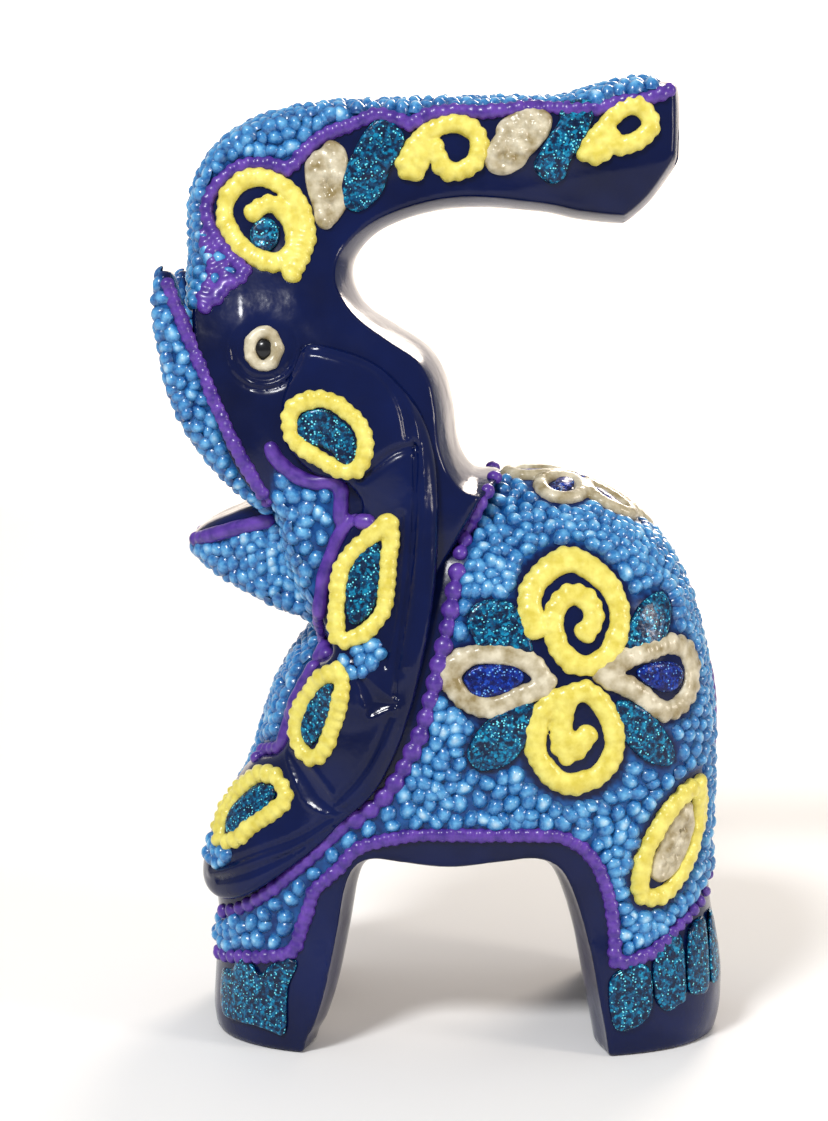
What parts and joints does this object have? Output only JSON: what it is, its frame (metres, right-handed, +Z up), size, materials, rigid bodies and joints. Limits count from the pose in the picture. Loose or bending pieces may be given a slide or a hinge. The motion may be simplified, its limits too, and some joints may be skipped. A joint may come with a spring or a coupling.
{
  "type": "elephant figurine",
  "caption": "Standing carved wooden elephant with its trunk raised and curled back over the head, lacquered and covered in raised paint beads, scrolls and petals.",
  "frame": {"origin": "on the floor, under the middle of the figure's overall box", "axes": "+Z up, the elephant faces -X, its left side is -Y"},
  "size_m": [0.1078, 0.069, 0.1798],
  "materials": {
    "navy_lacquer": "dark navy gloss lacquer over carved wood",
    "bare_wood": "bare pale wood, hidden inside the joints",
    "blue_bead_paint": "pearly blue dimensional paint in domed beads",
    "purple_paint": "purple dimensional paint in domed beads",
    "yellow_paint": "glossy yellow dimensional paint, laid as overlapping dots",
    "cream_paint": "pearly cream dimensional paint",
    "blue_glitter_paint": "blue glitter paint",
    "teal_glitter_paint": "teal glitter paint",
    "black_paint": "glossy black paint"
  },
  "bodies": {
    "root": {"back_flower_hearts": "blue_glitter_paint", "back_flower_rims": "cream_paint", "belly_border_left": "purple_paint", "belly_border_right": "purple_paint", "body_block": "navy_lacquer", "collar_left": "purple_paint", "collar_right": "purple_paint", "ear_leaf_hearts_left": "teal_glitter_paint", "ear_leaf_hearts_right": "teal_glitter_paint", "ear_leaf_rims_left": "yellow_paint", "ear_leaf_rims_right": "yellow_paint", "ear_left": "navy_lacquer", "ear_pegs": "bare_wood", "ear_right": "navy_lacquer", "eye_pupil_left": "black_paint", "eye_pupil_right": "black_paint", "eye_ring_left": "cream_paint", "eye_ring_right": "cream_paint", "flank_leaves_left": "teal_glitter_paint", "flank_leaves_right": "teal_glitter_paint", "flank_petal_hearts_left": "blue_glitter_paint", "flank_petal_hearts_right": "blue_glitter_paint", "flank_petal_rims_left": "cream_paint", "flank_petal_rims_right": "cream_paint", "flank_scrolls_left": "yellow_paint", "flank_scrolls_right": "yellow_paint", "head_block": "navy_lacquer", "neck_dowels": "bare_wood", "tail": "purple_paint", "tail_peg": "bare_wood", "thigh_leaf_heart_left": "cream_paint", "thigh_leaf_heart_right": "cream_paint", "thigh_leaf_rim_left": "yellow_paint", "thigh_leaf_rim_right": "yellow_paint", "toenails_front": "teal_glitter_paint", "toenails_hind": "teal_glitter_paint", "trunk_border_left": "purple_paint", "trunk_border_right": "purple_paint", "trunk_leaves_left": "teal_glitter_paint", "trunk_leaves_right": "teal_glitter_paint", "trunk_petal_hearts_left": "blue_glitter_paint", "trunk_petal_hearts_right": "blue_glitter_paint", "trunk_petal_rims_left": "cream_paint", "trunk_petal_rims_right": "cream_paint", "trunk_scrolls_left": "yellow_paint", "trunk_scrolls_right": "yellow_paint", "tusk_left": "blue_bead_paint", "tusk_pegs": "bare_wood", "tusk_right": "blue_bead_paint"}
  },
  "joints": []
}
